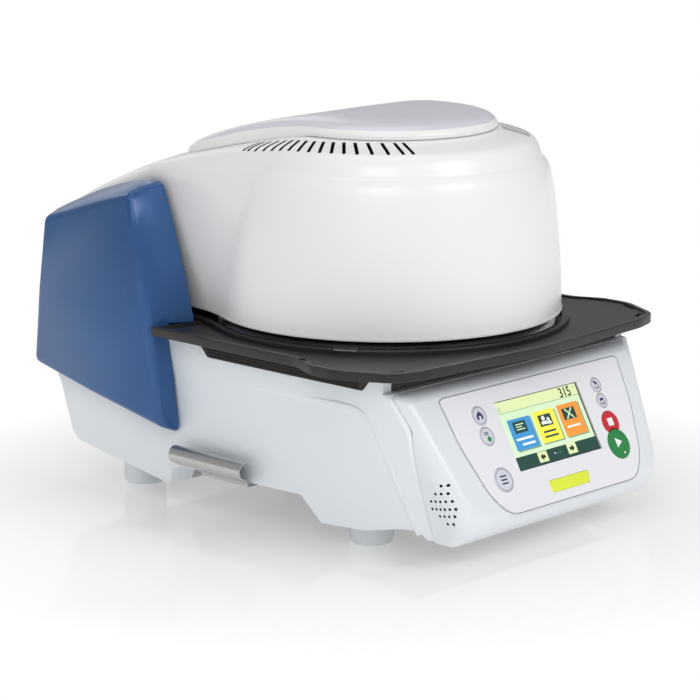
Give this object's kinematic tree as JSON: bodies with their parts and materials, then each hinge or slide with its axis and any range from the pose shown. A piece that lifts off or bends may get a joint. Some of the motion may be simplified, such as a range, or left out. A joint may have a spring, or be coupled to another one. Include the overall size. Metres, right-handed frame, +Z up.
{
  "type": "dental lab furnace",
  "caption": "Bench furnace for dental ceramics: tilting white head over a black cooling plate, blue side covers, sloping front with display and keys.",
  "frame": {"origin": "on the bench, under the middle of the furnace's width and depth", "axes": "+Z up; the operating unit faces -Y; +X points to the right for someone facing the front"},
  "size_m": [0.342, 0.4322, 0.32],
  "materials": {
    "white_moulding": "glossy white moulding",
    "casing_moulding": "satin bluish white moulding",
    "top_grey": "glossy grey white moulding",
    "blue_cover": "metallic blue lacquered moulding",
    "black_plate": "black heat resistant paint, satin",
    "dark_grille": "black perforated sheet",
    "foot_rubber": "pale grey rubber",
    "clip_steel": "brushed stainless steel",
    "plated_sheet": "zinc plated sheet",
    "brass_gear": "machined",
    "ceramic_fibre": "pressed fibre, matt",
    "firing_ceramic": "fired, matt",
    "milky_quartz": "milky quartz",
    "heating_wire": "oxidised resistance wire",
    "circuit_board": "green solder mask",
    "dark_plastic": "fine textured",
    "keypad_foil": "satin foil",
    "key_grey": "satin",
    "key_red": "satin",
    "key_green": "satin",
    "display": "colour display behind a clear window",
    "status_light": "translucent light bar"
  },
  "bodies": {
    "furnace_base": {"base_housing": "casing_moulding", "base_plate": "plated_sheet", "foot_front_left": "foot_rubber", "foot_front_right": "foot_rubber", "foot_rear_left": "foot_rubber", "foot_rear_right": "foot_rubber", "vent_grille_left": "dark_grille", "vent_grille_right": "dark_grille", "side_cover_left": "blue_cover", "side_cover_right": "blue_cover", "rear_cover": "white_moulding", "rear_panel": "plated_sheet", "cooling_plate": "black_plate", "base_insulation": "ceramic_fibre", "sealing_plate": "plated_sheet", "firing_table": "firing_ceramic", "hinge_bracket_left": "plated_sheet", "hinge_bracket_right": "plated_sheet", "gear_motor": "plated_sheet", "fan_frame": "dark_plastic", "mains_inlet": "dark_plastic", "pump_socket": "dark_plastic", "switch_housing": "dark_plastic", "fuse_holders": "dark_plastic", "service_port": "plated_sheet", "vacuum_valve": "plated_sheet", "power_board": "circuit_board", "control_housing": "white_moulding", "keypad_overlay": "keypad_foil", "display_module": "display", "status_bar": "status_light", "control_board": "circuit_board", "speaker": "dark_plastic", "tongs_clip": "clip_steel"},
    "tilting_head": {"head_hood": "white_moulding", "hood_top_cover": "top_grey", "head_flange": "plated_sheet", "head_gasket": "ceramic_fibre", "muffle": "milky_quartz", "insulation_ring": "ceramic_fibre", "insulation_cap": "ceramic_fibre", "heating_coil": "heating_wire", "thermocouple": "clip_steel", "hinge_shaft": "clip_steel", "hinge_arm_left": "plated_sheet", "hinge_arm_right": "plated_sheet", "drive_sector": "plated_sheet"},
    "drive_pinion": {"drive_pinion": "brass_gear"},
    "fan_rotor": {"fan_rotor": "dark_plastic"},
    "power_switch": {"power_switch": "dark_plastic"},
    "key_home": {"key_home": "key_grey"},
    "key_power_save": {"key_power_save": "key_grey"},
    "key_program": {"key_program": "key_grey"},
    "key_head_open": {"key_head_open": "key_grey"},
    "key_head_close": {"key_head_close": "key_grey"},
    "key_stop": {"key_stop": "key_red"},
    "key_start": {"key_start": "key_green"}
  },
  "joints": [
    {"name": "head_tilt", "type": "hinge", "parent": "furnace_base", "child": "tilting_head", "pos_m": [0, 0.185, 0.175], "axis": [-1, 0, 0], "range_deg": [0, 40]},
    {"name": "pinion_turn", "type": "hinge", "parent": "furnace_base", "child": "drive_pinion", "pos_m": [0.024, 0.15509, 0.16105], "axis": [-1, 0, 0], "range_deg": [-106.7, 0]},
    {"name": "fan_spin", "type": "hinge", "parent": "furnace_base", "child": "fan_rotor", "pos_m": [-0.045, 0.202, 0.1765], "axis": [0, 1, 0], "continuous": true},
    {"name": "switch_rock", "type": "hinge", "parent": "furnace_base", "child": "power_switch", "pos_m": [0.024, 0.2056, 0.128], "axis": [-1, 0, 0], "range_deg": [0, 18]},
    {"name": "press_home", "type": "slide", "parent": "furnace_base", "child": "key_home", "axis": [0, 0.8729, -0.4879], "range_m": [0, 0.0005], "stiffness_N_per_m": 600},
    {"name": "press_power_save", "type": "slide", "parent": "furnace_base", "child": "key_power_save", "axis": [0, 0.8729, -0.4879], "range_m": [0, 0.0005], "stiffness_N_per_m": 600},
    {"name": "press_program", "type": "slide", "parent": "furnace_base", "child": "key_program", "axis": [0, 0.8729, -0.4879], "range_m": [0, 0.0005], "stiffness_N_per_m": 600},
    {"name": "press_head_open", "type": "slide", "parent": "furnace_base", "child": "key_head_open", "axis": [0, 0.8729, -0.4879], "range_m": [0, 0.0005], "stiffness_N_per_m": 600},
    {"name": "press_head_close", "type": "slide", "parent": "furnace_base", "child": "key_head_close", "axis": [0, 0.8729, -0.4879], "range_m": [0, 0.0005], "stiffness_N_per_m": 600},
    {"name": "press_stop", "type": "slide", "parent": "furnace_base", "child": "key_stop", "axis": [0, 0.8729, -0.4879], "range_m": [0, 0.0005], "stiffness_N_per_m": 600},
    {"name": "press_start", "type": "slide", "parent": "furnace_base", "child": "key_start", "axis": [0, 0.8729, -0.4879], "range_m": [0, 0.0005], "stiffness_N_per_m": 600}
  ],
  "couplings": [
    {"joint": "pinion_turn", "follows": "head_tilt", "ratio": -2.6667}
  ]
}
